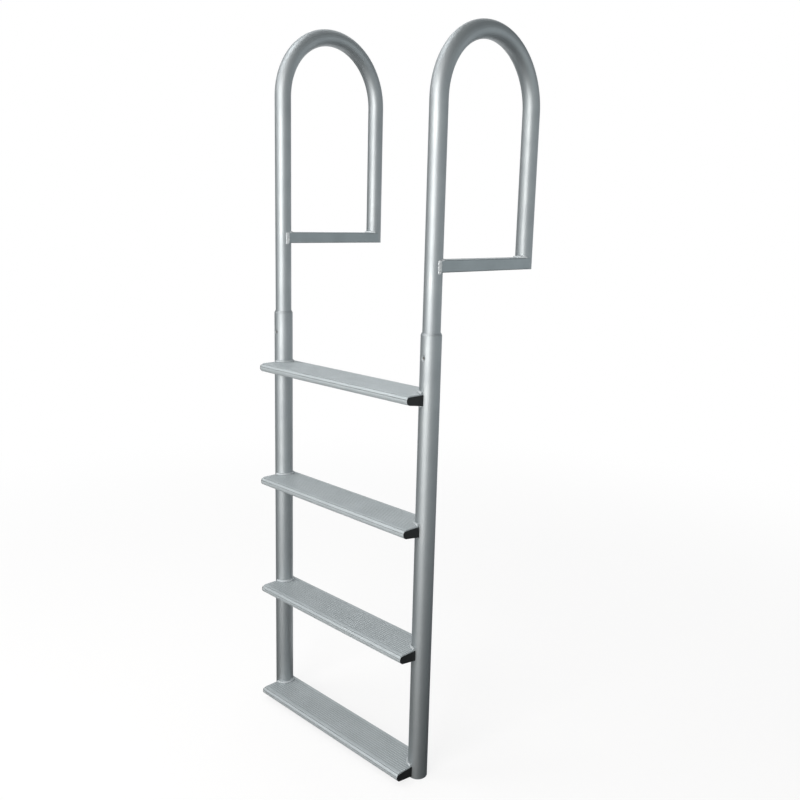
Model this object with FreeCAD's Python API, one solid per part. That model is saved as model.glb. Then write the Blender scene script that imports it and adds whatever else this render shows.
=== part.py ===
import FreeCAD, Part
import math
import os
from FreeCAD import Vector

# Dock ladder of welded aluminium tube, in millimetres.
# +X is the climber's right, +Y points over the dock, +Z is up.
# The origin is on the underside of the left deck bar, midway along it, so z = 0 is the dock's deck.

# Layout
leg_spacing = 495.0
reach = 298.0
tread_count = 4
step_rise = 288.0
first_step_drop = 288.0
handrail_height = 504.0
right_rail_drop = 40.0

# Handrail tube, and its sliding joint in the leg
rail_od = 38.1
rail_wall = 2.5
rail_insertion = 95.0
slide_clearance = 0.25
rail_end_bevel = 0.8

# Leg tube
leg_wall = 2.925
mouth_above_tread = 125.0
mouth_bevel_height = 5.0
mouth_land = 0.9
foot_below_tread = 32.0
foot_bevel = 1.2
leg_plug_depth = 22.0
plug_clearance = 0.15
plug_wall = 2.2
plug_recess = 1.5

# Screw that locks the handrail in the leg, with a head that tapers at 45 degrees
screw_below_mouth = 51.5
screw_head_diameter = 11.0
screw_diameter = 5.5
screw_length = 16.0
screw_hole_clearance = 0.25
dimple_diameter = 15.0
dimple_depth = 1.1

# Deck bar, a rectangular tube as wide as the handrail, between the handrail's two ends
bar_height = 25.4
bar_wall = 3.0
bar_corner = 2.4
bar_inner_corner = 0.6
post_plug_depth = 16.0
deck_hole_diameter = 10.5
deck_hole_spacing = 114.0

# Tread extrusion
tread_depth = 94.5
tread_wall = 3.0
tread_thickness = 26.0
nose_thickness = 20.5
taper_ahead_of_leg = 1.0
tread_end_overhang = 2.0
cope_clearance = 0.1
rear_corner = 2.0
groove_pitch = 6.35
groove_depth = 0.8
groove_top_width = 2.9
groove_floor_width = 1.7
first_groove_from_rear = 9.0
last_groove_from_nose = 5.0
nose_groove_angles = (56.0, 14.0)
nose_groove_half_angle = 3.4
nose_groove_depth = 0.8

# Cap in each end of a tread
cap_flange = 1.5
cap_depth = 12.0
cap_wall = 2.0
cap_clearance = 0.25

# Weld beads
tread_weld_leg = 6.5
under_weld_leg = 4.5
tread_weld_swing = 220.0
bar_bead_radius = 3.0
side_bead_radius = 12.5
side_bead_rise = 1.2
weld_clearance = 0.05

# How far a cutting shape runs past what it cuts
overshoot = 1.0

# Places that follow from the sizes
leg_bore = rail_od + 2 * slide_clearance
leg_od = leg_bore + 2 * leg_wall
leg_radius = leg_od / 2
rail_radius = rail_od / 2
upright_y = -reach / 2
post_y = reach / 2
bend_radius = reach / 2
hoop_axis_top = handrail_height - rail_radius
tread_tops = [-first_step_drop - number * step_rise for number in range(tread_count)]
mouth_z = tread_tops[0] + mouth_above_tread
foot_z = tread_tops[-1] - foot_below_tread
screw_z = mouth_z - screw_below_mouth
screw_head_height = (screw_head_diameter - screw_diameter) / 2
bar_width = rail_od
tread_rear = leg_radius + cope_clearance + tread_wall
tread_nose = tread_rear - tread_depth
nose_radius = nose_thickness / 2
nose_centre = tread_nose + nose_radius
groove_room = tread_depth - nose_radius - first_groove_from_rear - last_groove_from_nose
groove_count = 1 + int(groove_room / groove_pitch)
taper_y = -leg_radius - taper_ahead_of_leg
sides = {"left": 0.0, "right": leg_spacing}
outward = {"left": -1.0, "right": 1.0}
rail_drop = {"left": 0.0, "right": right_rail_drop}


def profile_point(y, z):
    """A point of a tread's cross-section."""
    return Vector(0, y, z)


def nose_point(radius, angle):
    """A point round the nose's centre, with the angle in degrees above the horizontal."""
    turn = math.radians(angle)
    return profile_point(nose_centre - radius * math.cos(turn), -nose_radius + radius * math.sin(turn))


def nose_arc(radius, start, end):
    """An arc round the nose's centre."""
    middle = (start + end) / 2
    return Part.Arc(nose_point(radius, start), nose_point(radius, middle), nose_point(radius, end)).toShape()


def line(start, end):
    """A straight edge."""
    return Part.LineSegment(start, end).toShape()


def chain(points):
    """Straight edges through a list of points."""
    return [line(start, end) for start, end in zip(points, points[1:])]


def face_of(edges):
    """A face inside a closed run of edges."""
    return Part.Face(Part.Wire(Part.__sortEdges__(edges)))


def rod(x, y, radius, low, high):
    """A solid upright cylinder."""
    return Part.makeCylinder(radius, high - low, Vector(x, y, low))


def block(low, high):
    """A box between two corners."""
    size = high.sub(low)
    return Part.makeBox(size.x, size.y, size.z, low)


def tread_outline(with_grooves):
    """The outside of the tread's extrusion, with or without its fine grooves."""
    low = -tread_thickness
    mid_turn = rear_corner * (1 - math.cos(math.radians(45)))
    points = [profile_point(tread_rear, low + rear_corner), profile_point(tread_rear, 0)]
    if with_grooves:
        for number in range(groove_count):
            centre = tread_rear - first_groove_from_rear - number * groove_pitch
            points.append(profile_point(centre + groove_top_width / 2, 0))
            points.append(profile_point(centre + groove_floor_width / 2, -groove_depth))
            points.append(profile_point(centre - groove_floor_width / 2, -groove_depth))
            points.append(profile_point(centre - groove_top_width / 2, 0))
    points.append(nose_point(nose_radius, 90))
    edges = chain(points)
    start = 90.0
    for angle in nose_groove_angles if with_grooves else ():
        edges.append(nose_arc(nose_radius, start, angle + nose_groove_half_angle))
        edges += chain([
            nose_point(nose_radius, angle + nose_groove_half_angle),
            nose_point(nose_radius - nose_groove_depth, angle),
            nose_point(nose_radius, angle - nose_groove_half_angle),
        ])
        start = angle - nose_groove_half_angle
    edges.append(nose_arc(nose_radius, start, -90.0))
    edges += chain([
        nose_point(nose_radius, -90),
        profile_point(taper_y, low),
        profile_point(tread_rear - rear_corner, low),
    ])
    edges.append(Part.Arc(
        profile_point(tread_rear - rear_corner, low),
        profile_point(tread_rear - mid_turn, low + mid_turn),
        profile_point(tread_rear, low + rear_corner),
    ).toShape())
    return face_of(edges)


def tread_cavity(inset):
    """The hollow of the tread's extrusion, drawn smaller by an inset."""
    wall = tread_wall + inset
    radius = nose_radius - wall
    edges = chain([
        nose_point(radius, -90),
        profile_point(taper_y, wall - tread_thickness),
        profile_point(tread_rear - wall, wall - tread_thickness),
        profile_point(tread_rear - wall, -wall),
        nose_point(radius, 90),
    ])
    edges.append(nose_arc(radius, 90.0, -90.0))
    return face_of(edges)


def along_x(face, start, end):
    """A prism of a cross-section between two places along X."""
    solid = face.extrude(Vector(end - start, 0, 0))
    solid.translate(Vector(start, 0, 0))
    return solid


def leg_notch(side):
    """What a leg takes out of a tread's end: its round side, and the way out to the end."""
    x = sides[side]
    radius = leg_radius + cope_clearance
    reach_out = x + outward[side] * (tread_end_overhang + leg_radius)
    low = Vector(min(x, reach_out), -radius, -2 * tread_thickness)
    high = Vector(max(x, reach_out), radius, tread_thickness)
    return rod(x, 0, radius, low.z, high.z).fuse(block(low, high))


def make_tread():
    """A ribbed hollow extrusion, notched at both ends to sit round the legs."""
    start = -tread_end_overhang
    end = leg_spacing + tread_end_overhang
    solid = along_x(tread_outline(True), start, end)
    solid = solid.cut(along_x(tread_cavity(0.0), start - overshoot, end + overshoot))
    for side in sides:
        solid = solid.cut(leg_notch(side))
    return solid


def make_tread_cap(side):
    """A plastic plug for the open end ahead of the leg: a flange below the top wall and a hollow spigot."""
    end = sides[side] + outward[side] * tread_end_overhang
    flange = along_x(tread_outline(False), end, end + outward[side] * cap_flange)
    spigot = along_x(tread_cavity(cap_clearance), end, end - outward[side] * cap_depth)
    pocket = along_x(tread_cavity(cap_clearance + cap_wall), end - outward[side] * cap_wall,
                     end - outward[side] * (cap_depth + overshoot))
    above = block(Vector(end - leg_radius, tread_nose - overshoot, -tread_wall - cap_clearance),
                  Vector(end + leg_radius, tread_rear + overshoot, tread_thickness))
    behind = block(Vector(end - leg_radius, -leg_radius / 2, -2 * tread_thickness),
                   Vector(end + leg_radius, tread_rear + overshoot, tread_thickness))
    bore = leg_radius + cap_clearance
    cap = flange.cut(above).fuse(spigot.cut(pocket)).removeSplitter()
    back_wall = rod(sides[side], 0, bore, -2 * tread_thickness, tread_thickness)
    return cap.cut(behind).cut(back_wall)


def hoop_wire(x, drop, foot, trim):
    """The handrail's centre line: up, over the half circle and down, with its ends lengthened by trim."""
    spring = hoop_axis_top - bend_radius - drop
    top = Vector(x, 0, hoop_axis_top - drop)
    start = Vector(x, upright_y, foot - trim)
    left = Vector(x, upright_y, spring)
    right = Vector(x, post_y, spring)
    end = Vector(x, post_y, -drop - trim)
    return Part.Wire([line(start, left), Part.Arc(left, top, right).toShape(), line(right, end)])


def swept(wire, radius):
    """A solid round bar along a wire that starts upwards."""
    start = wire.Vertexes[0].Point
    section = Part.Wire(Part.makeCircle(radius, start, Vector(0, 0, 1)))
    return wire.makePipeShell([section], True, False)


def make_handrail(side):
    """A bent tube: the upright that slides into the leg, the hoop and the post that ends the bar."""
    x = sides[side]
    drop = rail_drop[side]
    foot = mouth_z - rail_insertion - drop
    solid = swept(hoop_wire(x, drop, foot, 0.0), rail_radius)
    solid = solid.cut(swept(hoop_wire(x, drop, foot, overshoot), rail_radius - rail_wall))
    tip = Part.makeCone(rail_radius - rail_end_bevel, rail_radius, rail_end_bevel, Vector(x, upright_y, foot))
    ring = rod(x, upright_y, rail_radius + overshoot, foot, foot + rail_end_bevel)
    solid = solid.cut(ring.cut(tip))
    return solid.cut(screw_hole(side, screw_diameter / 2)).cut(screw_head(side, screw_hole_clearance))


def screw_hole(side, radius):
    """A hole from the leg's front face in towards the tube's middle."""
    start = Vector(sides[side], upright_y - leg_radius - overshoot, screw_z)
    return Part.makeCylinder(radius, leg_radius, start, Vector(0, 1, 0))


def make_leg(side):
    """A straight tube with a bevelled mouth, a dimpled screw hole and a bevelled foot."""
    x = sides[side]
    bevel_foot = mouth_z - mouth_bevel_height
    inner = leg_bore / 2
    tube = rod(x, upright_y, leg_radius, foot_z + foot_bevel, bevel_foot)
    mouth = Part.makeCone(leg_radius, inner + mouth_land, mouth_bevel_height, Vector(x, upright_y, bevel_foot))
    foot = Part.makeCone(leg_radius - foot_bevel, leg_radius, foot_bevel, Vector(x, upright_y, foot_z))
    solid = tube.fuse([mouth, foot])
    solid = solid.cut(rod(x, upright_y, inner, foot_z - overshoot, mouth_z + overshoot))
    solid = solid.cut(screw_hole(side, screw_diameter / 2 + screw_hole_clearance))
    return solid.cut(dimple(side)).cut(screw_head(side, screw_hole_clearance))


def dimple(side):
    """The shallow round dish pressed into the leg round its screw."""
    half = dimple_diameter / 2
    radius = (half ** 2 + dimple_depth ** 2) / (2 * dimple_depth)
    centre_y = upright_y - leg_radius + dimple_depth - radius
    return Part.makeSphere(radius, Vector(sides[side], centre_y, screw_z))


def screw_head(side, clearance):
    """The screw's countersunk head, with a clearance all round."""
    face_y = upright_y - leg_radius + dimple_depth
    radius = screw_head_diameter / 2 + clearance
    shank = screw_diameter / 2 + clearance
    return Part.makeCone(radius, shank, screw_head_height, Vector(sides[side], face_y, screw_z), Vector(0, 1, 0))


def make_joint_screw(side):
    """A countersunk screw through the leg into the handrail."""
    face_y = upright_y - leg_radius + dimple_depth
    shank_radius = screw_diameter / 2 - screw_hole_clearance
    shank = Part.makeCylinder(shank_radius, screw_length, Vector(sides[side], face_y, screw_z), Vector(0, 1, 0))
    return screw_head(side, 0.0).fuse(shank).removeSplitter()


def plug_cup(bore, depth):
    """A plastic cup that fits a tube's bore, open at its top, with its underside at z = 0."""
    radius = bore / 2 - plug_clearance
    return rod(0, 0, radius, 0, depth).cut(rod(0, 0, radius - plug_wall, plug_wall, depth + overshoot))


def make_leg_plug(side):
    """A plastic cup pushed up into the leg's foot."""
    return plug_cup(leg_bore, leg_plug_depth).translated(Vector(sides[side], upright_y, foot_z + plug_recess))


def make_deck_bar_plug(side):
    """A plastic cup pushed up into the post's foot, at the end of the bar."""
    place = Vector(sides[side], post_y, plug_recess - rail_drop[side])
    return plug_cup(rail_od - 2 * rail_wall, post_plug_depth).translated(place)


def bar_prism(inset, corner, start, end):
    """A bar with rounded long edges between two places along Y, smaller than the deck bar by an inset."""
    half = bar_width / 2 - inset
    solid = block(Vector(-half, start, inset), Vector(half, end, bar_height - inset))
    long_edges = [edge for edge in solid.Edges if abs(edge.tangentAt(edge.FirstParameter).y) > 0.5]
    return solid.makeFillet(corner, long_edges)


def make_deck_bar(side):
    """A rectangular tube, coped to the upright and to the post, with two bolt holes down through it."""
    solid = bar_prism(0.0, bar_corner, upright_y, post_y)
    solid = solid.cut(bar_prism(bar_wall, bar_inner_corner, upright_y - overshoot, post_y + overshoot))
    for y in (upright_y, post_y):
        solid = solid.cut(rod(0, y, rail_radius + weld_clearance, -overshoot, bar_height + overshoot))
    for y in (-deck_hole_spacing / 2, deck_hole_spacing / 2):
        solid = solid.cut(rod(0, y, deck_hole_diameter / 2, -overshoot, bar_height + overshoot))
    solid.translate(Vector(sides[side], 0, -rail_drop[side]))
    return solid


def fillet_ring(side, z, rise):
    """A triangular weld bead round a leg's inner half, from a surface up by a rise, or down where it is negative."""
    x = sides[side]
    inner = leg_radius + cope_clearance
    points = [
        Vector(x + inner, 0, z),
        Vector(x + leg_radius + abs(rise), 0, z),
        Vector(x + inner, 0, z + rise),
    ]
    section = face_of(chain(points + points[:1]))
    start = -tread_weld_swing / 2 if side == "left" else 180 - tread_weld_swing / 2
    section.rotate(Vector(x, 0, 0), Vector(0, 0, 1), start)
    return section.revolve(Vector(x, 0, 0), Vector(0, 0, 1), tread_weld_swing)


def make_tread_weld(side, tread):
    """The beads that join one leg to a tread, above and below it, as far as the tread reaches."""
    end = sides[side] + outward[side] * tread_end_overhang
    inward = end - outward[side] * 2 * leg_radius
    room = block(Vector(min(end, inward), -2 * leg_radius, -2 * tread_thickness),
                 Vector(max(end, inward), tread_rear, tread_thickness))
    above = fillet_ring(side, -groove_depth, tread_weld_leg).common(room).cut(tread)
    below = fillet_ring(side, -tread_thickness, -under_weld_leg).common(room)
    return Part.makeCompound(above.Solids + below.Solids)


def half_ring(start):
    """A round bead on the bar's top, along half of the handrail's circle from an angle in degrees."""
    centre = Vector(0, 0, bar_height)
    ring = Part.makeTorus(rail_radius, bar_bead_radius, centre, Vector(0, 0, 1), -180, 180, 180)
    ring.rotate(centre, Vector(0, 0, 1), start)
    return ring


def make_bar_weld(side):
    """The bead round the bar where it meets the upright: round on the bar's top, broad and low on its sides."""
    radius = bar_bead_radius
    bead = half_ring(0.0)
    for across in (-1.0, 1.0):
        centre = across * (rail_radius + side_bead_rise - side_bead_radius)
        bead = bead.fuse([
            rod(centre, 0, side_bead_radius, 0, bar_height),
            Part.makeSphere(radius, Vector(across * rail_radius, 0, bar_height)),
        ])
    bead = bead.cut(rod(0, 0, rail_radius + weld_clearance, -overshoot, bar_height + 2 * radius))
    bead = bead.cut(bar_prism(0.0, bar_corner, 0, rail_od))
    bead.translate(Vector(sides[side], upright_y, -rail_drop[side]))
    return bead


def make_post_weld(side):
    """The bead ahead of the post, on the flat of the bar's top."""
    radius = bar_bead_radius
    half = bar_width / 2 - bar_corner
    room = block(Vector(-half, -rail_od, bar_height), Vector(half, 0, bar_height + 2 * radius))
    bead = half_ring(180.0).common(room)
    bead = bead.cut(rod(0, 0, rail_radius + weld_clearance, 0, bar_height + 2 * radius))
    bead.translate(Vector(sides[side], post_y, -rail_drop[side]))
    return bead


def export(name, shape):
    """Write one node's solids."""
    shape.exportStep("parts/" + name + ".step")
    volume = sum(solid.Volume for solid in shape.Solids)
    print(name, "solids", len(shape.Solids), "valid", shape.isValid(), "volume", round(volume))


def main():
    """Make every node of the ladder."""
    os.makedirs("parts", exist_ok=True)
    for side in sides:
        export("handrail_" + side, make_handrail(side))
        export("leg_" + side, make_leg(side))
        export("leg_plug_" + side, make_leg_plug(side))
        export("joint_screw_" + side, make_joint_screw(side))
        export("deck_bar_" + side, make_deck_bar(side))
        export("deck_bar_plug_" + side, make_deck_bar_plug(side))
        export("bar_weld_" + side, make_bar_weld(side))
        export("post_weld_" + side, make_post_weld(side))
    tread = make_tread()
    for number, top in enumerate(tread_tops, start=1):
        move = Vector(0, upright_y, top)
        export("tread_" + str(number), tread.translated(move))
        for side in sides:
            name = str(number) + "_" + side
            export("tread_cap_" + name, make_tread_cap(side).translated(move))
            export("tread_weld_" + name, make_tread_weld(side, tread).translated(move))


main()
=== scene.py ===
"""Looks of a welded aluminium dock ladder: finishes, weld beads, screws and a plain studio."""

import logging
import math
from dataclasses import dataclass, field
from enum import Enum
from typing import Any

import bmesh
import bpy
from mathutils import Matrix, Vector

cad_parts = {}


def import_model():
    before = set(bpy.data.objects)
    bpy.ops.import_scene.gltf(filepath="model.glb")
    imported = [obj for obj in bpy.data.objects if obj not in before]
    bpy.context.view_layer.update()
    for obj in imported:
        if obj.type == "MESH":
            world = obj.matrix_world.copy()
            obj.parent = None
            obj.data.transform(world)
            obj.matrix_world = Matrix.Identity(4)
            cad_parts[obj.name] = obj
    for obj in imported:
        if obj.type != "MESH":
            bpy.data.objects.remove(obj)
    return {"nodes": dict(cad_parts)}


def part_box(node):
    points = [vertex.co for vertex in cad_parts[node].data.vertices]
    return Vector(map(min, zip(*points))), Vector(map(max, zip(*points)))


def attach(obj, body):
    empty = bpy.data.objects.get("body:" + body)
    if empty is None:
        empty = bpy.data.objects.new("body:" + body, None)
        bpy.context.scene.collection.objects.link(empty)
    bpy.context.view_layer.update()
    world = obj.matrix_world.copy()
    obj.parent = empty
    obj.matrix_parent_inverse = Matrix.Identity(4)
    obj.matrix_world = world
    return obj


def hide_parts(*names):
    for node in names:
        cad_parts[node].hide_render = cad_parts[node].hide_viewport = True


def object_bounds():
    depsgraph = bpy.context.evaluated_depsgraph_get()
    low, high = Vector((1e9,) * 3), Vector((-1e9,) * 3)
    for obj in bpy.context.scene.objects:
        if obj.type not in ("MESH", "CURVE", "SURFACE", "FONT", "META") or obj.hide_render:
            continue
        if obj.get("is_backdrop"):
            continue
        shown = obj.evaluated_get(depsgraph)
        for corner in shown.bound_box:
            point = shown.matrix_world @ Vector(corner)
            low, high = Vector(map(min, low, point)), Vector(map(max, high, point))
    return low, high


LOG = logging.getLogger("dock_ladder")
MM = 0.001
MERGE_DISTANCE = 0.001 * MM
BODY = "root"
MATH = "ShaderNodeMath"

# A weld bead's points, each with the bead's share of its full radius there.
BeadPath = list[tuple[Vector, float]]
# A node's outputs, by name.
Outputs = bpy.types.bpy_prop_collection


class Side(Enum):
    """The two sides of the ladder, each with its handrail, leg and deck bar."""

    LEFT = "left"
    RIGHT = "right"


class Grain(Enum):
    """The way that a finish's fine lines run on a piece."""

    UPRIGHT = "along a straight leg"
    HOOP = "along a bent handrail"
    TREAD = "along a tread"
    BAR = "along a deck bar"


def linear(colour: str) -> tuple[float, float, float, float]:
    """Turn an sRGB hex colour to linear light.

    Args:
        colour: the colour as "#RRGGBB".

    Returns:
        Red, green, blue and an alpha of 1, in linear light.
    """
    channels = []
    for start in (1, 3, 5):
        value = int(colour[start:start + 2], 16) / 255
        channels.append(value / 12.92 if value <= 0.04045 else ((value + 0.055) / 1.055) ** 2.4)
    return (channels[0], channels[1], channels[2], 1.0)


def add_node(
    tree: bpy.types.NodeTree,
    kind: str,
    *values: Any,
    sockets: dict[str | int, Any] | None = None,
    **settings: Any,
) -> bpy.types.Node:
    """Add one node to a tree, with its settings and its inputs.

    An input is given a plain value, an output that feeds it, or a node, which stands for its first output.

    Args:
        tree: the tree that gets the node.
        kind: the node's type name.
        values: what the first inputs get, in order.
        sockets: what other inputs get, by their name or number.
        settings: values for the node's own properties.

    Returns:
        The new node.
    """
    node = tree.nodes.new(kind)
    for name, value in settings.items():
        setattr(node, name, value)
    given = dict(enumerate(values)) | (sockets or {})
    for key, value in given.items():
        if isinstance(value, bpy.types.Node):
            value = value.outputs[0]
        if isinstance(value, bpy.types.NodeSocket):
            tree.links.new(value, node.inputs[key])
        else:
            node.inputs[key].default_value = value
    return node


def add_object(name: str, data: bpy.types.ID) -> bpy.types.Object:
    """Put a new object in the scene.

    Args:
        name: the object's name.
        data: its mesh, light or camera.

    Returns:
        The object.
    """
    made = bpy.data.objects.new(name, data)
    bpy.context.scene.collection.objects.link(made)
    return made


def new_material(name: str) -> tuple[bpy.types.Material, bpy.types.NodeTree]:
    """Start a material with an empty node tree.

    Args:
        name: the material's name.

    Returns:
        The material and its tree.
    """
    material = bpy.data.materials.new(name)
    material.use_nodes = True
    material.node_tree.nodes.clear()
    return material, material.node_tree


def span(tree: bpy.types.NodeTree, level: Any, upright: Any) -> bpy.types.Node:
    """Give the distance that a level and an upright length span.

    Args:
        tree: the tree that asks.
        level: the level length.
        upright: the upright length.

    Returns:
        The node that gives the distance.
    """
    level_square = add_node(tree, MATH, level, level, operation="MULTIPLY")
    upright_square = add_node(tree, MATH, upright, upright, operation="MULTIPLY")
    squares = add_node(tree, MATH, level_square, upright_square, operation="ADD")
    return add_node(tree, MATH, squares, operation="SQRT")


def grain_vector(
    tree: bpy.types.NodeTree,
    grain: Grain,
    stretch: float,
    bend_start: float,
) -> bpy.types.NodeSocket:
    """Give the pattern's coordinates in metres, shrunk along the way that the lines run.

    Args:
        tree: the material's tree.
        grain: the way of the lines.
        stretch: how many times longer than wide a line is.
        bend_start: the height where a handrail's upright turns into its half circle, in metres.

    Returns:
        The output that holds the coordinates.
    """
    place = add_node(tree, "ShaderNodeTexCoord").outputs["Object"]
    if grain is Grain.HOOP:
        parts = add_node(tree, "ShaderNodeSeparateXYZ", place).outputs
        past_bend = add_node(tree, MATH, parts["Z"], bend_start, operation="SUBTRACT")
        above = add_node(tree, MATH, past_bend, 0.0, operation="MAXIMUM")
        along = add_node(tree, MATH, parts["Z"], stretch, operation="DIVIDE")
        return add_node(
            tree, "ShaderNodeCombineXYZ", parts["X"], span(tree, parts["Y"], above), along).outputs[0]
    scale = {
        Grain.UPRIGHT: (1.0, 1.0, 1.0 / stretch),
        Grain.TREAD: (1.0 / stretch, 1.0, 1.0),
        Grain.BAR: (1.0, 1.0 / stretch, 1.0),
    }[grain]
    return add_node(tree, "ShaderNodeMapping", sockets={"Vector": place, "Scale": scale}).outputs[0]


@dataclass(frozen=True)
class Grooves:
    """The painted shade in the fine grooves of the treads' flat tops and round noses, with lengths in metres.

    The nose's grooves are narrower than a pixel of the picture, so their shade is deeper than the real one's,
    to show. The shade starts at the depth edge, is full at floor, and ends at limit, inside the tread's wall.
    A face whose normal lies along X by more than end_face is a tread's cut end and has no grooves.
    """

    first_top: float
    rise: float
    nose_front: float
    nose_radius: float = 10.25 * MM
    edge: float = 0.2 * MM
    floor: float = 0.6 * MM
    limit: float = 1.5 * MM
    top_shade: float = 0.3
    nose_shade: float = 0.9
    end_face: float = 0.5

    def shade(self, tree: bpy.types.NodeTree) -> bpy.types.NodeSocket:
        """Give the share of light that is lost on the grooves' floors, and 0 on the faces round them.

        Args:
            tree: the material's tree.

        Returns:
            The output that holds the share.
        """
        given = add_node(tree, "ShaderNodeTexCoord").outputs
        parts = add_node(tree, "ShaderNodeSeparateXYZ", given["Object"]).outputs
        facing = add_node(tree, "ShaderNodeSeparateXYZ", given["Normal"]).outputs

        # How far a point lies under its own tread's top.
        below_first = add_node(tree, MATH, self.first_top, parts["Z"], operation="SUBTRACT")
        rises = add_node(tree, MATH, below_first, self.rise, operation="DIVIDE")
        part_rise = add_node(tree, MATH, rises, operation="FRACT")
        drop = add_node(tree, MATH, part_rise, self.rise, operation="MULTIPLY")

        # How deep it lies under the flat top or, ahead of the nose's axis, under the nose's round.
        axis = self.nose_front + self.nose_radius
        before_axis = add_node(tree, MATH, axis, parts["Y"], operation="SUBTRACT")
        ahead = add_node(tree, MATH, 0.0, before_axis, operation="MAXIMUM")
        above = add_node(tree, MATH, self.nose_radius, drop, operation="SUBTRACT")
        depth = add_node(tree, MATH, self.nose_radius, span(tree, ahead, above), operation="SUBTRACT")

        # The share of shade at that depth, on the grooves alone.
        sunk = add_node(tree, "ShaderNodeMapRange", sockets={
            "Value": depth, "From Min": self.edge, "From Max": self.floor})
        near_skin = add_node(tree, MATH, depth, self.limit, operation="LESS_THAN")
        inside = add_node(tree, MATH, sunk, near_skin, operation="MULTIPLY")
        sideways = add_node(tree, MATH, facing["X"], operation="ABSOLUTE")
        lengthwise = add_node(tree, MATH, sideways, self.end_face, operation="LESS_THAN")
        share = add_node(tree, MATH, inside, lengthwise, operation="MULTIPLY")
        on_nose = add_node(tree, MATH, ahead, 0.0, operation="GREATER_THAN")
        deeper = self.nose_shade - self.top_shade
        loss = add_node(tree, MATH, on_nose, deeper, self.top_shade, operation="MULTIPLY_ADD")
        return add_node(tree, MATH, share, loss, operation="MULTIPLY").outputs[0]


@dataclass(frozen=True)
class AnodisedAluminium:
    """Clear satin anodised aluminium, drawn or extruded through a die.

    The eye sees a soft broad sheen, with faint lines from the die and a slight cloudiness. The real lines
    and the etched frost are finer than a pixel of the picture, so both are drawn coarser, to show.
    """

    name: str
    grain: Grain
    clear: str = "#B3B8BA"
    cloudy: str = "#ABB0B3"
    metallic: float = 1.0
    roughness: float = 0.56
    roughness_spread: float = 0.03
    line_width_mm: float = 2.5
    line_stretch: float = 80.0
    line_depth_mm: float = 0.012
    line_share: float = 0.3
    cloud_size_mm: float = 60.0
    frost_size_mm: float = 1.6
    frost_depth_mm: float = 0.006
    tone_range: tuple[float, float] = (0.35, 0.65)
    roughness_range: tuple[float, float] = (0.3, 0.7)
    bend_start: float = 0.0
    grooves: Grooves | None = None

    def build(self) -> bpy.types.Material:
        """Make the material.

        Returns:
            The material.
        """
        material, tree = new_material(self.name)
        lines_at = grain_vector(tree, self.grain, self.line_stretch, self.bend_start)
        plain_at = add_node(tree, "ShaderNodeTexCoord").outputs["Object"]
        lines = add_node(tree, "ShaderNodeTexNoise", sockets={
            "Vector": lines_at, "Scale": 1 / (self.line_width_mm * MM), "Detail": 3.0, "Roughness": 0.6})
        clouds = add_node(tree, "ShaderNodeTexNoise", sockets={
            "Vector": plain_at, "Scale": 1 / (self.cloud_size_mm * MM), "Detail": 4.0, "Roughness": 0.55})
        frost = add_node(tree, "ShaderNodeTexNoise", sockets={
            "Vector": plain_at, "Scale": 1 / (self.frost_size_mm * MM), "Detail": 2.0, "Roughness": 0.5})
        cloud_part = add_node(tree, MATH, clouds, 1 - self.line_share, operation="MULTIPLY")
        mixed = add_node(tree, MATH, lines, self.line_share, cloud_part, operation="MULTIPLY_ADD")
        tone = add_node(tree, "ShaderNodeMapRange", sockets={
            "Value": mixed, "From Min": self.tone_range[0], "From Max": self.tone_range[1]})
        colour = add_node(tree, "ShaderNodeMix", data_type="RGBA", sockets={
            0: tone, 6: linear(self.cloudy), 7: linear(self.clear)}).outputs[2]
        # Painted shade: the grooves' floors are mixed towards black, more deeply on the nose.
        if self.grooves:
            colour = add_node(tree, "ShaderNodeMix", data_type="RGBA", sockets={
                0: self.grooves.shade(tree), 6: colour, 7: linear("#000000")}).outputs[2]
        rough = add_node(tree, "ShaderNodeMapRange", sockets={
            "Value": mixed, "From Min": self.roughness_range[0], "From Max": self.roughness_range[1],
            "To Min": self.roughness + self.roughness_spread,
            "To Max": self.roughness - self.roughness_spread})
        line_bump = add_node(tree, "ShaderNodeBump", sockets={
            "Height": lines, "Distance": self.line_depth_mm * MM})
        frost_bump = add_node(tree, "ShaderNodeBump", sockets={
            "Height": frost, "Distance": self.frost_depth_mm * MM, "Normal": line_bump})
        shader = add_node(tree, "ShaderNodeBsdfPrincipled", sockets={
            "Base Color": colour, "Metallic": self.metallic, "Roughness": rough, "Normal": frost_bump})
        add_node(tree, "ShaderNodeOutputMaterial", sockets={"Surface": shader})
        return material


@dataclass(frozen=True)
class WeldedAluminium:
    """Bead of a hand weld in aluminium: frozen ripples under a bloom of oxide.

    The eye sees a pale matt cord, lighter than the tube. The bloom's real speckle is finer than drawn here.
    """

    name: str
    bright: str = "#CBD0D2"
    dull: str = "#B5BABD"
    metallic: float = 0.35
    roughness: float = 0.58
    roughness_spread: float = 0.1
    speckle_size_mm: float = 0.8
    speckle_depth_mm: float = 0.03

    def build(self) -> bpy.types.Material:
        """Make the material.

        Returns:
            The material.
        """
        material, tree = new_material(self.name)
        place = add_node(tree, "ShaderNodeTexCoord").outputs["Object"]
        speckle = add_node(tree, "ShaderNodeTexNoise", sockets={
            "Vector": place, "Scale": 1 / (self.speckle_size_mm * MM), "Detail": 3.0})
        colour = add_node(tree, "ShaderNodeMix", data_type="RGBA", sockets={
            0: speckle, 6: linear(self.dull), 7: linear(self.bright)}).outputs[2]
        rough = add_node(tree, "ShaderNodeMapRange", sockets={
            "Value": speckle, "To Min": self.roughness + self.roughness_spread,
            "To Max": self.roughness - self.roughness_spread})
        bump = add_node(tree, "ShaderNodeBump", sockets={
            "Height": speckle, "Distance": self.speckle_depth_mm * MM})
        shader = add_node(tree, "ShaderNodeBsdfPrincipled", sockets={
            "Base Color": colour, "Metallic": self.metallic, "Roughness": rough, "Normal": bump})
        add_node(tree, "ShaderNodeOutputMaterial", sockets={"Surface": shader})
        return material


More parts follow.
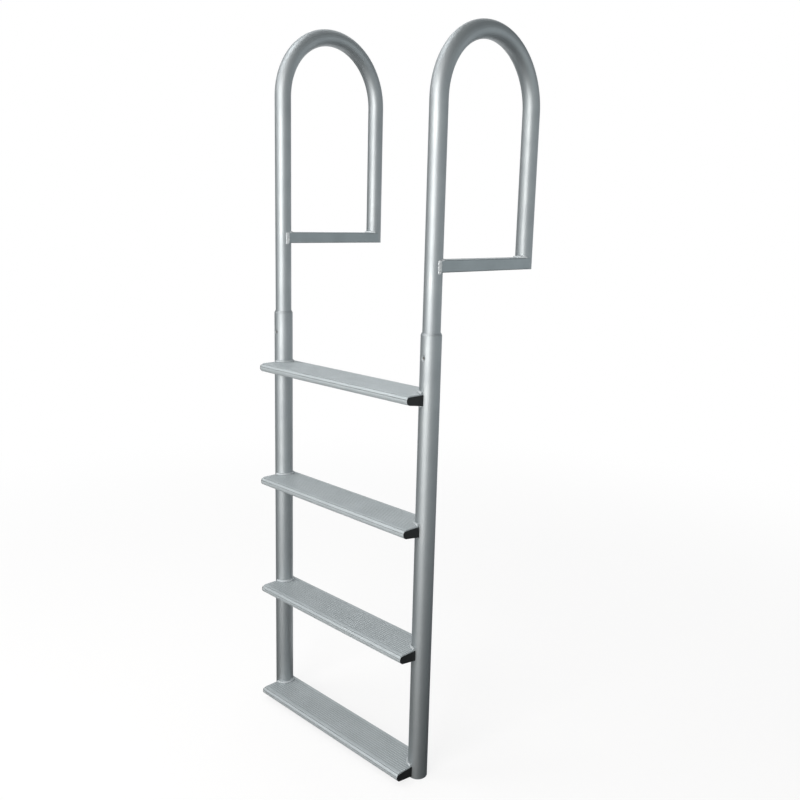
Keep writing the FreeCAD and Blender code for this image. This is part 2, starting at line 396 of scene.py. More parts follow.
@dataclass(frozen=True)
class TurnedStainless:
    """Stainless steel, turned on a lathe.

    The eye sees a darker and warmer grey than the aluminium's, with a sharper glint. The real tool marks are
    finer than drawn here.
    """

    name: str = "turned_stainless_screw"
    colour: str = "#8F8E8B"
    roughness: float = 0.3
    roughness_spread: float = 0.08
    mark_size_mm: float = 0.35
    mark_depth_mm: float = 0.01

    def build(self) -> bpy.types.Material:
        """Make the material.

        Returns:
            The material.
        """
        material, tree = new_material(self.name)
        place = add_node(tree, "ShaderNodeTexCoord").outputs["Object"]
        marks = add_node(tree, "ShaderNodeTexNoise", sockets={
            "Vector": place, "Scale": 1 / (self.mark_size_mm * MM), "Detail": 2.0})
        rough = add_node(tree, "ShaderNodeMapRange", sockets={
            "Value": marks, "To Min": self.roughness - self.roughness_spread,
            "To Max": self.roughness + self.roughness_spread})
        bump = add_node(tree, "ShaderNodeBump", sockets={
            "Height": marks, "Distance": self.mark_depth_mm * MM})
        shader = add_node(tree, "ShaderNodeBsdfPrincipled", sockets={
            "Base Color": linear(self.colour), "Metallic": 1.0, "Roughness": rough, "Normal": bump})
        add_node(tree, "ShaderNodeOutputMaterial", sockets={"Surface": shader})
        return material


@dataclass(frozen=True)
class MouldedPolyethylene:
    """Black polyethylene, injection moulded.

    The eye sees near black with a low waxy sheen, a fine spark texture from the mould, and faint scuffs. The
    real texture is finer than drawn here.
    """

    name: str
    colour: str = "#0F1214"
    scuffed: str = "#191D1F"
    roughness: float = 0.55
    scuff_roughness: float = 0.12
    scuff_size_mm: float = 9.0
    scuff_range: tuple[float, float] = (0.5, 0.75)
    spark_size_mm: float = 0.5
    spark_depth_mm: float = 0.03

    def build(self) -> bpy.types.Material:
        """Make the material.

        Returns:
            The material.
        """
        material, tree = new_material(self.name)
        place = add_node(tree, "ShaderNodeTexCoord").outputs["Object"]
        spark = add_node(tree, "ShaderNodeTexNoise", sockets={
            "Vector": place, "Scale": 1 / (self.spark_size_mm * MM), "Detail": 2.0})
        scuffs = add_node(tree, "ShaderNodeTexNoise", sockets={
            "Vector": place, "Scale": 1 / (self.scuff_size_mm * MM), "Detail": 5.0, "Roughness": 0.7})
        amount = add_node(tree, "ShaderNodeMapRange", sockets={
            "Value": scuffs, "From Min": self.scuff_range[0], "From Max": self.scuff_range[1]})
        colour = add_node(tree, "ShaderNodeMix", data_type="RGBA", sockets={
            0: amount, 6: linear(self.colour), 7: linear(self.scuffed)}).outputs[2]
        rough = add_node(tree, MATH, amount, self.scuff_roughness, self.roughness, operation="MULTIPLY_ADD")
        bump = add_node(tree, "ShaderNodeBump", sockets={
            "Height": spark, "Distance": self.spark_depth_mm * MM})
        shader = add_node(tree, "ShaderNodeBsdfPrincipled", sockets={
            "Base Color": colour, "Roughness": rough, "Normal": bump})
        add_node(tree, "ShaderNodeOutputMaterial", sockets={"Surface": shader})
        return material


def dress_node(nodes: dict[str, bpy.types.Object], name: str, material: bpy.types.Material) -> None:
    """Give every material slot of a CAD node one finish.

    Args:
        nodes: the CAD nodes by name.
        name: the node's name.
        material: the finish.
    """
    piece = nodes[name]
    for slot in piece.material_slots:
        slot.material = material
    if not piece.material_slots:
        piece.data.materials.append(material)
    LOG.info("%s dressed in %s", name, material.name)


def make_plain(piece: bpy.types.Object) -> bpy.types.Object:
    """Turn what a piece's modifiers make into its own mesh, with its faces outwards.

    Args:
        piece: the piece, with its modifiers.

    Returns:
        The same piece, with no modifiers.
    """
    depsgraph = bpy.context.evaluated_depsgraph_get()
    made = bpy.data.meshes.new_from_object(piece.evaluated_get(depsgraph), depsgraph=depsgraph)
    piece.modifiers.clear()
    piece.data = made
    shell = bmesh.new()
    shell.from_mesh(made)
    bmesh.ops.remove_doubles(shell, verts=shell.verts, dist=MERGE_DISTANCE)
    bmesh.ops.recalc_face_normals(shell, faces=shell.faces)
    shell.to_mesh(made)
    shell.free()
    made.polygons.foreach_set("use_smooth", [True] * len(made.polygons))
    made.update()
    return piece


def seat(piece: bpy.types.Object, slot: str, *nodes: str) -> None:
    """Tie a new piece to the ladder and let it stand for its CAD nodes.

    Args:
        piece: the piece.
        slot: the record's material slot; not used.
        nodes: the CAD nodes that it stands for.
    """
    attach(piece, BODY)
    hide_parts(*nodes)
    LOG.info("%s stands for %s, with %d faces", piece.name, ", ".join(nodes), len(piece.data.polygons))


@dataclass
class WeldTool:
    """Lays rippled weld beads along paths with one Geometry Nodes tree.

    At its two ends a bead's radius falls to the square root of end_floor, as a share of the full one.
    """

    ripple_pitch_mm: float = 2.2
    ripple_depth: float = 0.08
    crest_power: float = 0.6
    wander: float = 0.08
    wander_rate: float = 0.35
    taper_mm: float = 2.2
    end_floor: float = 0.02
    samples_per_ripple: int = 6
    profile_points: int = 14
    tree: bpy.types.NodeTree = field(init=False)
    sockets: dict[str, str] = field(init=False)

    def __post_init__(self) -> None:
        """Build the tree once, for every bead."""
        self.sockets = {}
        self.tree = bpy.data.node_groups.new("weld_bead", "GeometryNodeTree")
        self.build_tree()

    def add_input(self, name: str, kind: str, value: Any = None) -> None:
        """Add a named input to the tree.

        Args:
            name: the input's name.
            kind: the socket's type name.
            value: its value on every bead, where that is the same.
        """
        socket = self.tree.interface.new_socket(name, in_out="INPUT", socket_type=kind)
        if value is not None:
            socket.default_value = value
        self.sockets[name] = socket.identifier

    def build_tree(self) -> None:
        """Fill the tree that turns a path into a bead."""
        tree = self.tree
        tree.is_modifier = True
        self.add_input("Path", "NodeSocketGeometry")
        self.add_input("Bead Radius", "NodeSocketFloat")
        self.add_input("Ripple Pitch", "NodeSocketFloat", self.ripple_pitch_mm * MM)
        self.add_input("Ripple Depth", "NodeSocketFloat", self.ripple_depth)
        self.add_input("Taper Length", "NodeSocketFloat", self.taper_mm * MM)
        self.add_input("Seed", "NodeSocketInt")
        self.add_input("Finish", "NodeSocketMaterial")
        tree.interface.new_socket("Bead", in_out="OUTPUT", socket_type="NodeSocketGeometry")
        given = add_node(tree, "NodeGroupInput").outputs
        step = add_node(tree, MATH, given["Ripple Pitch"], float(self.samples_per_ripple), operation="DIVIDE")
        path = add_node(tree, "GeometryNodeMeshToCurve", given["Path"])
        curve = add_node(tree, "GeometryNodeResampleCurve", mode="LENGTH", sockets={
            "Curve": path, "Length": step})
        along = add_node(tree, "GeometryNodeSplineParameter").outputs["Length"]
        size = add_node(tree, "GeometryNodeInputNamedAttribute", data_type="FLOAT", sockets={
            "Name": "bead_size"})
        rippled = add_node(tree, MATH, self.ripple(given, along), size, operation="MULTIPLY")
        scale = add_node(tree, MATH, rippled, self.rounded_end(given, along), operation="MULTIPLY")
        ring = add_node(tree, "GeometryNodeCurvePrimitiveCircle", sockets={
            "Resolution": self.profile_points, "Radius": given["Bead Radius"]})
        skin = add_node(tree, "GeometryNodeCurveToMesh", sockets={
            "Curve": curve, "Profile Curve": ring, "Scale": scale, "Fill Caps": True})
        smooth = add_node(tree, "GeometryNodeSetShadeSmooth", skin)
        real = add_node(tree, "GeometryNodeRealizeInstances", smooth)
        dressed = add_node(tree, "GeometryNodeSetMaterial", sockets={
            "Geometry": real, "Material": given["Finish"]})
        add_node(tree, "NodeGroupOutput", dressed)

    def ripple(self, given: Outputs, along: bpy.types.NodeSocket) -> bpy.types.Node:
        """Swell the bead at each frozen ripple and let its size wander a little from one to the next.

        Args:
            given: the tree's inputs.
            along: the length along the bead.

        Returns:
            The node that gives the share of the bead's radius.
        """
        tree = self.tree
        phase = add_node(tree, MATH, along, given["Ripple Pitch"], operation="DIVIDE")
        part = add_node(tree, MATH, phase, operation="FRACT")
        angle = add_node(tree, MATH, part, math.pi, operation="MULTIPLY")
        wave = add_node(tree, MATH, angle, operation="SINE")
        crest = add_node(tree, MATH, wave, self.crest_power, operation="POWER")
        slow = add_node(tree, MATH, phase, self.wander_rate, operation="MULTIPLY")
        noise_at = add_node(tree, "ShaderNodeCombineXYZ", slow, given["Seed"])
        noise = add_node(tree, "ShaderNodeTexNoise", noise_dimensions="2D", sockets={
            "Vector": noise_at, "Scale": 1.0, "Detail": 1.0})
        centred = add_node(tree, MATH, noise, 0.5, operation="SUBTRACT")
        swell = add_node(tree, MATH, centred, 2 * self.wander, 1.0, operation="MULTIPLY_ADD")
        valley = add_node(tree, MATH, 1.0, crest, operation="SUBTRACT")
        dip = add_node(tree, MATH, valley, given["Ripple Depth"], operation="MULTIPLY")
        return add_node(tree, MATH, swell, dip, operation="SUBTRACT")

    def rounded_end(self, given: Outputs, along: bpy.types.NodeSocket) -> bpy.types.Node:
        """Round the bead off at its two ends.

        Args:
            given: the tree's inputs.
            along: the length along the bead.

        Returns:
            The node that gives the share of the bead's radius.
        """
        tree = self.tree
        total = add_node(tree, "GeometryNodeSplineLength").outputs["Length"]
        rest = add_node(tree, MATH, total, along, operation="SUBTRACT")
        to_end = add_node(tree, MATH, along, rest, operation="MINIMUM")
        tapers = add_node(tree, MATH, to_end, given["Taper Length"], operation="DIVIDE")
        inward = add_node(tree, MATH, tapers, 1.0, operation="MINIMUM")
        outward = add_node(tree, MATH, 1.0, inward, operation="SUBTRACT")
        square = add_node(tree, MATH, outward, 2.0, operation="POWER")
        height = add_node(tree, MATH, 1.0, square, operation="SUBTRACT")
        open_height = add_node(tree, MATH, self.end_floor, height, operation="MAXIMUM")
        return add_node(tree, MATH, open_height, operation="SQRT")

    def lay(
        self,
        name: str,
        paths: list[BeadPath],
        radius: float,
        finish: bpy.types.Material,
        seed: int,
    ) -> bpy.types.Object:
        """Lay beads along paths, as one piece.

        Args:
            name: the piece's name.
            paths: each bead's points.
            radius: the bead's full radius in metres.
            finish: the bead's material.
            seed: the number that the bead's unevenness starts from.

        Returns:
            The piece, as a plain mesh.
        """
        mesh = bpy.data.meshes.new(name)
        points, sizes, edges = [], [], []
        for path in paths:
            first = len(points)
            points += [point for point, _ in path]
            sizes += [size for _, size in path]
            edges += [(first + step, first + step + 1) for step in range(len(path) - 1)]
        mesh.from_pydata(points, edges, [])
        mesh.attributes.new("bead_size", "FLOAT", "POINT").data.foreach_set("value", sizes)
        piece = add_object(name, mesh)
        modifier = piece.modifiers.new("bead", "NODES")
        modifier.node_group = self.tree
        modifier[self.sockets["Bead Radius"]] = radius
        modifier[self.sockets["Seed"]] = seed
        modifier[self.sockets["Finish"]] = finish
        return make_plain(piece)


@dataclass
class Handrails:
    """The two hooped handrails, each with its deck bar and the plug in its post's foot."""

    nodes: dict[str, bpy.types.Object]
    tube_radius: float = 19.05 * MM
    bar_bead_radius: float = 2.8 * MM
    bar_bead_offset: float = 0.9 * MM
    bar_ring_swing: float = 1.3
    bar_seed: int = 10
    post_bead_radius: float = 3.7 * MM
    post_bead_offset: float = 0.9 * MM
    post_bead_lift: float = 0.3 * MM
    post_ring_swing: float = 1.1
    post_seed: int = 20
    ring_steps: int = 32
    ring_thinning: float = 0.3
    ring_thinning_power: int = 4
    side_bead_share: float = 0.88
    side_bead_sink: float = 1.1 * MM
    side_passes: tuple[float, ...] = (-3.6 * MM, -0.6 * MM, 2.4 * MM)
    side_bead_below: float = 3.0 * MM
    side_steps: int = 36
    pool_pitch: float = 9.0 * MM
    pool_swell: float = 0.1
    pool_shift: float = 0.5

    def dress(self) -> None:
        """Give the handrails, deck bars and plugs their finishes."""
        bar = AnodisedAluminium(
            "extruded_anodised_deck_bar", Grain.BAR, clear="#B1B8BB", cloudy="#A9B0B3").build()
        plug = MouldedPolyethylene("moulded_bar_plug").build()
        for side in Side:
            low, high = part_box("handrail_" + side.value)
            bend_start = high.z - self.tube_radius - (high.y - low.y - 2 * self.tube_radius) / 2
            rail = AnodisedAluminium(
                "drawn_anodised_handrail_" + side.value, Grain.HOOP, bend_start=bend_start).build()
            dress_node(self.nodes, "handrail_" + side.value, rail)
            dress_node(self.nodes, "deck_bar_" + side.value, bar)
            dress_node(self.nodes, "deck_bar_plug_" + side.value, plug)

    def half_ring(self, centre: Vector, middle: float, offset: float, swing: float) -> BeadPath:
        """Points of a bead round half of a tube, on the bar's top.

        Args:
            centre: the tube's axis at the bead's height.
            middle: the angle of the half's middle, from +X.
            offset: how far the bead's middle lies outside the tube.
            swing: the angle from the half's middle to the bead's ends.

        Returns:
            The bead's points.
        """
        reach = self.tube_radius + offset
        points = []
        for n in range(self.ring_steps + 1):
            turn = swing * (2 * n / self.ring_steps - 1)
            place = Vector((math.cos(middle + turn), math.sin(middle + turn), 0.0)) * reach
            thinning = self.ring_thinning * (turn / swing) ** self.ring_thinning_power
            points.append((centre + place, 1.0 - thinning))
        return points

    def side_beads(self, axis: Vector, outward: float, low: float, top: float) -> list[BeadPath]:
        """Upright passes of a broad bead, side by side where the bar's side runs into the tube's.

        Args:
            axis: the tube's axis at height 0.
            outward: the way along X to the bar's side.
            low: the height of the bar's underside.
            top: the height of the bar's top.

        Returns:
            Each pass's points.
        """
        passes = []
        for number, along in enumerate(self.side_passes):
            # Ahead of the tube's axis a pass lies on the tube's round, and behind it on the bar's flat side.
            angle = math.asin(min(along, 0.0) / self.tube_radius)
            out = Vector((outward * math.cos(angle), math.sin(angle), 0.0))
            foot = axis + out * (self.tube_radius - self.side_bead_sink) + Vector((0.0, max(along, 0.0), 0.0))
            start = low - self.side_bead_below / (1 + max(along, 0.0) / MM)
            points = []
            for n in range(self.side_steps + 1):
                height = start + (top - start) * n / self.side_steps
                phase = 2 * math.pi * (height - low) / self.pool_pitch + self.pool_shift * number
                size = self.side_bead_share + self.pool_swell * math.cos(phase)
                points.append((foot + Vector((0.0, 0.0, height)), size))
            passes.append(points)
        return passes

    def weld(self, tool: WeldTool, finish: bpy.types.Material) -> None:
        """Lay the beads at the bar's two ends.

        Args:
            tool: what lays the beads.
            finish: the beads' material.
        """
        for number, side in enumerate(Side):
            low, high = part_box("deck_bar_" + side.value)
            rail_low, rail_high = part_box("handrail_" + side.value)
            x = (low.x + high.x) / 2
            front = Vector((x, rail_low.y + self.tube_radius, 0.0))
            rear = Vector((x, rail_high.y - self.tube_radius, 0.0))
            lift = Vector((0.0, 0.0, high.z))
            paths = [self.half_ring(front + lift, math.pi / 2, self.bar_bead_offset, self.bar_ring_swing)]
            for outward in (-1.0, 1.0):
                paths += self.side_beads(front, outward, low.z, high.z)
            piece = tool.lay("bar_bead_" + side.value, paths, self.bar_bead_radius, finish,
                             self.bar_seed + number)
            seat(piece, "weld_bead", "bar_weld_" + side.value)
            lift.z += self.post_bead_lift
            path = self.half_ring(rear + lift, -math.pi / 2, self.post_bead_offset, self.post_ring_swing)
            piece = tool.lay("post_bead_" + side.value, [path], self.post_bead_radius, finish,
                             self.post_seed + number)
            seat(piece, "weld_bead", "post_weld_" + side.value)


@dataclass
class Legs:
    """The two straight legs with their foot plugs and the screws that lock the handrails."""

    nodes: dict[str, bpy.types.Object]
    head_radius: float = 5.5 * MM
    head_height: float = 2.75 * MM
    shank_radius: float = 2.5 * MM
    length: float = 16.0 * MM
    rim: float = 0.25 * MM
    recess_radius: float = 1.9 * MM
    recess_depth: float = 1.8 * MM
    recess_bevel: float = 0.35 * MM
    recess_mouth_share: float = 1.12
    segments: int = 48

    def dress(self) -> None:
        """Give the legs and foot plugs their finishes."""
        leg = AnodisedAluminium("drawn_anodised_leg", Grain.UPRIGHT).build()
        plug = MouldedPolyethylene("moulded_foot_plug").build()
        for side in Side:
            dress_node(self.nodes, "leg_" + side.value, leg)
            dress_node(self.nodes, "leg_plug_" + side.value, plug)

    def screw_mesh(self, centre: Vector) -> bmesh.types.BMesh:
        """Make a countersunk screw with a hexagon socket, pointing along +Y.

        Args:
            centre: the middle of the head's flat face.

        Returns:
            The screw's mesh.
        """
        mesh = bmesh.new()
        turns = [2 * math.pi * n / self.segments for n in range(self.segments)]
        profile = [
            (self.recess_radius * self.recess_mouth_share, 0.0),
            (self.head_radius - self.rim, 0.0),
            (self.head_radius, self.rim),
            (self.shank_radius, self.head_height),
            (self.shank_radius, self.length - self.rim),
            (self.shank_radius - self.rim, self.length),
        ]
        rings = [([radius] * self.segments, depth) for radius, depth in profile]
        flat_angle = math.pi / 3
        flat_radius = self.recess_radius * math.cos(flat_angle / 2)
        hexagon = [flat_radius / math.cos(turn % flat_angle - flat_angle / 2) for turn in turns]
        rings += [(hexagon, self.recess_bevel), (hexagon, self.recess_depth)]
        made = [
            [mesh.verts.new(centre + Vector((radius * math.cos(turn), depth, radius * math.sin(turn))))
             for radius, turn in zip(radii, turns)]
            for radii, depth in rings
        ]
        *body, mouth, floor = made
        order = [floor, mouth] + body
        for first, second in zip(order, order[1:]):
            for n in range(self.segments):
                after = (n + 1) % self.segments
                mesh.faces.new((first[n], first[after], second[after], second[n]))
        mesh.faces.new(floor)
        mesh.faces.new(body[-1])
        bmesh.ops.recalc_face_normals(mesh, faces=mesh.faces)
        return mesh

    def fit_screws(self, finish: bpy.types.Material) -> None:
        """Put a detailed screw where each plain one is.

        Args:
            finish: the screws' material.
        """
        for side in Side:
            low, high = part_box("joint_screw_" + side.value)
            shape = self.screw_mesh(Vector(((low.x + high.x) / 2, low.y, (low.z + high.z) / 2)))
            name = "socket_screw_" + side.value
            mesh = bpy.data.meshes.new(name)
            shape.to_mesh(mesh)
            shape.free()
            mesh.materials.append(finish)
            seat(add_object(name, mesh), "stainless_screw", "joint_screw_" + side.value)


@dataclass
class Treads:
    """The four ribbed treads with their end caps and the weld beads that hold them to the legs."""

    nodes: dict[str, bpy.types.Object]
    count: int = 4
    bead_radius: float = 3.2 * MM
    bead_offset: float = 1.1 * MM
    bead_lift: float = 1.2 * MM
    narrow_share: float = 0.62
    under_share: float = 0.7
    tread_end: float = 2.0 * MM
    end_angle: float = 0.06
    ring_steps: int = 60
    first_seed: int = 100
    seeds_per_tread: int = 10

    def dress(self) -> None:
        """Give the treads and caps their finishes."""
        low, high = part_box("tread_1")
        next_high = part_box("tread_2")[1]
        grooves = Grooves(first_top=high.z, rise=high.z - next_high.z, nose_front=low.y)
        # The extrusion's skin is duller than the tubes', so it is less metallic: its noses stay pale and its
        # flat tops are darker. Its lines and frost are shallow and leave the grooves clear.
        tread = AnodisedAluminium(
            "extruded_anodised_tread", Grain.TREAD, clear="#B8BFC2", cloudy="#B0B7BA", metallic=0.6,
            frost_depth_mm=0.002, line_depth_mm=0.003, grooves=grooves).build()
        cap = MouldedPolyethylene("moulded_tread_cap").build()
        for number in range(1, self.count + 1):
            dress_node(self.nodes, f"tread_{number}", tread)
            for side in Side:
                dress_node(self.nodes, f"tread_cap_{number}_{side.value}", cap)

    def ring(self, leg: tuple[Vector, Vector], side: Side, height: float, share: float) -> BeadPath:
        """Points of a bead round a leg's inner half.

        Args:
            leg: the leg's lowest and highest corner.
            side: the leg's side.
            height: the height of the bead's middle.
            share: the bead's share of its full radius where it is widest.

        Returns:
            The bead's points.
        """
        low, high = leg
        centre = (low + high) / 2
        radius = (high.x - low.x) / 2
        swing = math.pi / 2 + math.asin(self.tread_end / radius) - self.end_angle
        inward = 0.0 if side is Side.LEFT else math.pi
        points = []
        for n in range(self.ring_steps + 1):
            turn = -swing + 2 * swing * n / self.ring_steps
            angle = inward + turn
            # The bead is thinner on the leg's side towards the dock.
            behind = max(0.0, math.sin(angle))
            size = share * (1.0 - (1.0 - self.narrow_share) * behind ** 2)
            reach = radius + self.bead_offset * size
            place = Vector((centre.x + reach * math.cos(angle), centre.y + reach * math.sin(angle), height))
            points.append((place, size))
        return points

    def weld(self, tool: WeldTool, finish: bpy.types.Material) -> None:
        """Lay the beads above and below each tread, at both legs.

        Args:
            tool: what lays the beads.
            finish: the beads' material.
        """
        for number in range(1, self.count + 1):
            low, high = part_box(f"tread_{number}")
            for turn, side in enumerate(Side):
                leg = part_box("leg_" + side.value)
                paths = [self.ring(leg, side, high.z + self.bead_lift, 1.0),
                         self.ring(leg, side, low.z - self.bead_lift * self.under_share, self.under_share)]
                piece = tool.lay(f"tread_bead_{number}_{side.value}", paths, self.bead_radius, finish,
                                 self.first_seed + self.seeds_per_tread * number + turn)
                seat(piece, "weld_bead", f"tread_weld_{number}_{side.value}")


@dataclass(frozen=True)
class Wall:
    """A stretch of the room's wall and of the mat before it, by degrees to the camera's left.

    Each pair is a brightness: of the wall at its foot and top, and of the mat at the ladder and the wall.
    """

    name: str
    start: float
    end: float
    wall: tuple[float, float]
    mat: tuple[float, float]


@dataclass(frozen=True)
class Lamp:
    """A soft lamp that faces the ladder's middle, by degrees to the camera's left and above the level.

    Its distance and its width and height are in metres, its power in watts.
    """

    name: str
    turn: float
    rise: float
    distance: float
    size: tuple[float, float]
    power: float
    colour: str = "#FFFFFF"


def shows_background(tree: bpy.types.NodeTree) -> bpy.types.Node:
    """Give 1 on rays that show the background, straight or in metal and glass, and 0 on the others.

    Args:
        tree: the tree that asks.

    Returns:
        The node that gives the answer.
    """
    path = add_node(tree, "ShaderNodeLightPath").outputs
    either = add_node(tree, MATH, path["Is Camera Ray"], path["Is Glossy Ray"], operation="MAXIMUM")
    return add_node(tree, MATH, either, path["Is Transmission Ray"], operation="MAXIMUM")


@dataclass
class Studio:
    """A pale floor, a plain pale room, soft lamps and the camera.

    Lengths are in metres and the camera's angles in radians.
    """

    camera_place: tuple[float, float, float] = (1.69907, -1.45271, 0.07086)
    yaw: float = 0.7802
    pitch: float = 0.2094
    roll: float = -0.0251
    lens_mm: float = 39.02
    sensor_mm: float = 36.0
    middle: tuple[float, float, float] = (0.2475, 0.0, -0.35)
    white: str = "#FFFFFF"
    floor_paint: str = "#F4F4F4"
    floor_reach: float = 40.0
    floor_glow: float = 0.8
    floor_near: float = 0.7
    floor_far: float = 3.0
    room_light: float = 0.45
    room_paint: str = "#EEF5F7"
    wall_distance: float = 5.0
    wall_height: float = 3.2
    wall_steps: int = 20
    mat_lift: float = 1.0 * MM
    walls: tuple[Wall, ...] = (
        Wall("front_left", 0.0, 92.0, (1.08, 0.28), (0.04, 0.7)),
        Wall("rear_left", 92.0, 155.0, (0.34, 0.0), (0.04, 0.4)),
        Wall("front_right", -60.0, 0.0, (1.3, 0.5), (0.0, 0.4)),
        Wall("right", -150.0, -60.0, (1.15, 0.32), (0.0, 0.55)),
    )
    ceiling: tuple[float, float] = (0.24, 0.4)
    ceiling_reach: float = 5.5
    lamps: tuple[Lamp, ...] = (
        Lamp("key", 30.0, 11.0, 3.6, (2.0, 2.8), 120.0, "#FFFBF7"),
        Lamp("side", 82.0, 42.0, 3.2, (1.2, 1.8), 26.0),
        Lamp("overhead", 90.0, 68.0, 2.3, (0.8, 0.8), 9.0),
        Lamp("top", 180.0, 62.0, 2.6, (2.0, 2.0), 13.0),
    )

    def build(self, floor_height: float) -> None:
        """Set the whole stage.

        Args:
            floor_height: the height of the ladder's feet.
        """
        self.add_floor(floor_height)
        self.add_walls(floor_height)
        self.light_room()
        self.add_camera()
        for lamp in self.lamps:
            self.add_lamp(lamp)
        LOG.info("studio set, floor at %.4f m", floor_height)

    def add_floor(self, height: float) -> None:
        """Add the floor, which shows near white and keeps a soft shadow.

        Args:
            height: the floor's height.
        """
        mesh = bpy.data.meshes.new("floor")
        corners = [(x * self.floor_reach, y * self.floor_reach, height)
                   for x, y in ((-1, -1), (1, -1), (1, 1), (-1, 1))]
        mesh.from_pydata(corners, [], [(0, 1, 2, 3)])
        material, tree = new_material("painted_floor")
        paint = add_node(tree, "ShaderNodeBsdfDiffuse", sockets={"Color": linear(self.floor_paint)})
        glow = add_node(tree, "ShaderNodeEmission", sockets={"Color": linear(self.white), "Strength": 1.0})
        place = add_node(tree, "ShaderNodeTexCoord").outputs["Object"]
        under = (self.middle[0], self.middle[1], height)
        away = add_node(tree, "ShaderNodeVectorMath", place, under, operation="DISTANCE").outputs["Value"]
        even = add_node(tree, "ShaderNodeMapRange", interpolation_type="SMOOTHSTEP", sockets={
            "Value": away, "From Min": self.floor_near, "From Max": self.floor_far,
            "To Min": self.floor_glow, "To Max": 1.0})
        share = add_node(tree, MATH, shows_background(tree), even, operation="MULTIPLY")
        mixed = add_node(tree, "ShaderNodeMixShader", share, paint, glow)
        add_node(tree, "ShaderNodeOutputMaterial", sockets={"Surface": mixed})
        mesh.materials.append(material)
        add_object("floor", mesh)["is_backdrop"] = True

    def add_walls(self, floor_height: float) -> None:
        """Add the room's walls, its mats and its ceiling, which only metal shows.

        They stand all round but straight behind the ladder. They draw the pale and the dark bands that silver
        metal has in a studio, and no camera sees them.

        Args:
            floor_height: the floor's height.
        """
        foot = Vector((self.middle[0], self.middle[1], floor_height + self.mat_lift))
        up = Vector((0, 0, 1))
        steps = self.wall_steps
        for part in self.walls:
            turns = [part.start + (part.end - part.start) * n / steps for n in range(steps + 1)]
            rim = [foot + self.toward(turn, 0.0) * self.wall_distance for turn in turns]
            top = [point + up * self.wall_height for point in rim]
            faces = [(n, n + 1, steps + n + 2, steps + n + 1) for n in range(steps)]
            self.add_card(part.name + "_wall", rim + top, faces, up, foot, self.wall_height, part.wall)
            fan = [(n, n + 1, steps + 1) for n in range(steps)]
            out = self.toward((part.start + part.end) / 2, 0.0)
            self.add_card(part.name + "_mat", rim + [foot], fan, out, foot, self.wall_distance, part.mat)
        back = -self.toward(0.0, 0.0)
        side = self.toward(90.0, 0.0)
        above = foot + up * self.wall_height
        corners = [above + (back * along + side * across) * self.ceiling_reach for along, across in
                   ((-1, -1), (-1, 1), (1, 1), (1, -1))]
        self.add_card("ceiling", corners, [(0, 1, 2, 3)], back, above, self.ceiling_reach, self.ceiling)

    def add_card(
        self,
        name: str,
        points: list[Vector],
        faces: list[tuple[int, ...]],
        way: Vector,
        start: Vector,
        run: float,
        levels: tuple[float, float],
    ) -> None:
        """Add a card that only metal shows, whose brightness runs softly from one level to another.

        Args:
            name: the card's name.
            points: its corners.
            faces: the corners of each of its faces.
            way: the unit direction in which its brightness changes.
            start: the point where it starts to change.
            run: how far it goes on changing, in metres.
            levels: its brightness at the run's start and end.
        """
        mesh = bpy.data.meshes.new(name)
        mesh.from_pydata(points, [], faces)
        material, tree = new_material("painted_" + name)
        place = add_node(tree, "ShaderNodeTexCoord").outputs["Object"]
        from_start = add_node(tree, "ShaderNodeVectorMath", place, start, operation="SUBTRACT")
        along = add_node(tree, "ShaderNodeVectorMath", from_start, way, operation="DOT_PRODUCT")
        level = add_node(tree, "ShaderNodeMapRange", sockets={
            "Value": along.outputs["Value"], "From Max": run, "To Min": levels[0], "To Max": levels[1]})
        glow = add_node(tree, "ShaderNodeEmission", sockets={
            "Color": linear(self.room_paint), "Strength": level})
        add_node(tree, "ShaderNodeOutputMaterial", sockets={"Surface": glow})
        mesh.materials.append(material)
        card = add_object(name, mesh)
        card.visible_camera = False
        card.visible_diffuse = False
        card.visible_transmission = False
        card.visible_shadow = False
        card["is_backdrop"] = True

    def light_room(self) -> None:
        """Make the room white where it is seen and a plain soft grey where it lights."""
        world = bpy.data.worlds.new("room")
        bpy.context.scene.world = world
        world.use_nodes = True
        tree = world.node_tree
        tree.nodes.clear()
        strength = add_node(tree, "ShaderNodeMapRange", sockets={
            "Value": shows_background(tree), "To Min": self.room_light, "To Max": 1.0})
        back = add_node(tree, "ShaderNodeBackground", sockets={
            "Color": linear(self.white), "Strength": strength})
        add_node(tree, "ShaderNodeOutputWorld", sockets={"Surface": back})

    def toward(self, turn: float, rise: float) -> Vector:
        """Give a direction from the ladder, by angles from the camera's side.

        Args:
            turn: degrees to the camera's left.
            rise: degrees above the level.

        Returns:
            The unit direction.
        """
        angle = math.radians(turn)
        front = Vector((math.sin(self.yaw), -math.cos(self.yaw), 0.0))
        left = Vector((-math.cos(self.yaw), -math.sin(self.yaw), 0.0))
        level = front * math.cos(angle) + left * math.sin(angle)
        return level * math.cos(math.radians(rise)) + Vector((0, 0, math.sin(math.radians(rise))))

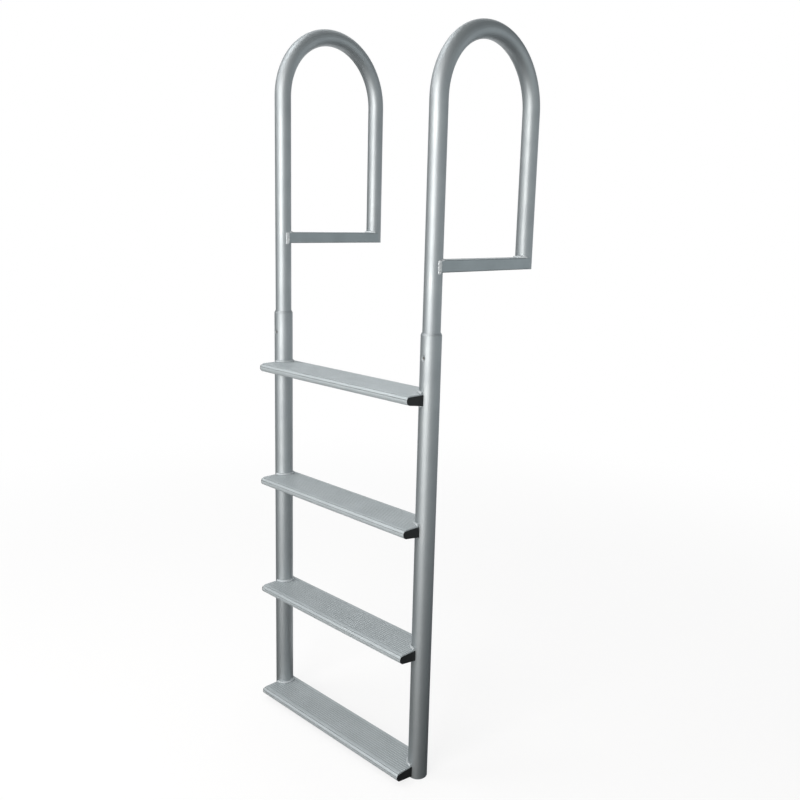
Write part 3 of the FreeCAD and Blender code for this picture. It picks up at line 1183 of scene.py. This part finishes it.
    def add_lamp(self, lamp: Lamp) -> None:
        """Add a lamp at its place, facing the ladder.

        Args:
            lamp: what the lamp is and where it stands.
        """
        data = bpy.data.lights.new(lamp.name, "AREA")
        data.shape = "RECTANGLE"
        data.size, data.size_y = lamp.size
        data.energy = lamp.power
        data.color = linear(lamp.colour)[:3]
        light = add_object(lamp.name, data)
        direction = self.toward(lamp.turn, lamp.rise)
        light.location = Vector(self.middle) + direction * lamp.distance
        light.rotation_euler = (-direction).to_track_quat("-Z", "Y").to_euler()

    def add_camera(self) -> None:
        """Add the camera at the photograph's place, turned by its three angles."""
        ahead = Vector((-math.sin(self.yaw) * math.cos(self.pitch), math.cos(self.yaw) * math.cos(self.pitch),
                        -math.sin(self.pitch)))
        right = Vector((math.cos(self.yaw), math.sin(self.yaw), 0.0))
        down = ahead.cross(right)
        across = right * math.cos(self.roll) + down * math.sin(self.roll)
        lower = down * math.cos(self.roll) - right * math.sin(self.roll)
        turn = Matrix((across, -lower, -ahead)).transposed()
        data = bpy.data.cameras.new("camera")
        data.lens = self.lens_mm
        data.sensor_width = self.sensor_mm
        camera = add_object("camera", data)
        camera.matrix_world = Matrix.Translation(self.camera_place) @ turn.to_4x4()
        bpy.context.scene.camera = camera
        bpy.context.scene.view_settings.view_transform = "Standard"


def main() -> None:
    """Build the ladder's looks in order."""
    logging.basicConfig(level=logging.INFO, format="%(name)s: %(message)s")
    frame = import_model()
    nodes = frame["nodes"]
    cad_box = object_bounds()
    Studio().build(cad_box[0].z)
    tool = WeldTool()
    handrails = Handrails(nodes)
    handrails.dress()
    handrails.weld(tool, WeldedAluminium("welded_aluminium_deck_bar_bead").build())
    legs = Legs(nodes)
    legs.dress()
    legs.fit_screws(TurnedStainless().build())
    treads = Treads(nodes)
    treads.dress()
    # The treads' beads have a duller bloom than the deck bars'.
    tread_bead = WeldedAluminium("welded_aluminium_tread_bead", bright="#BCC2C5", dull="#A7ADB0").build()
    treads.weld(tool, tread_bead)


if __name__ == "__main__":
    main()
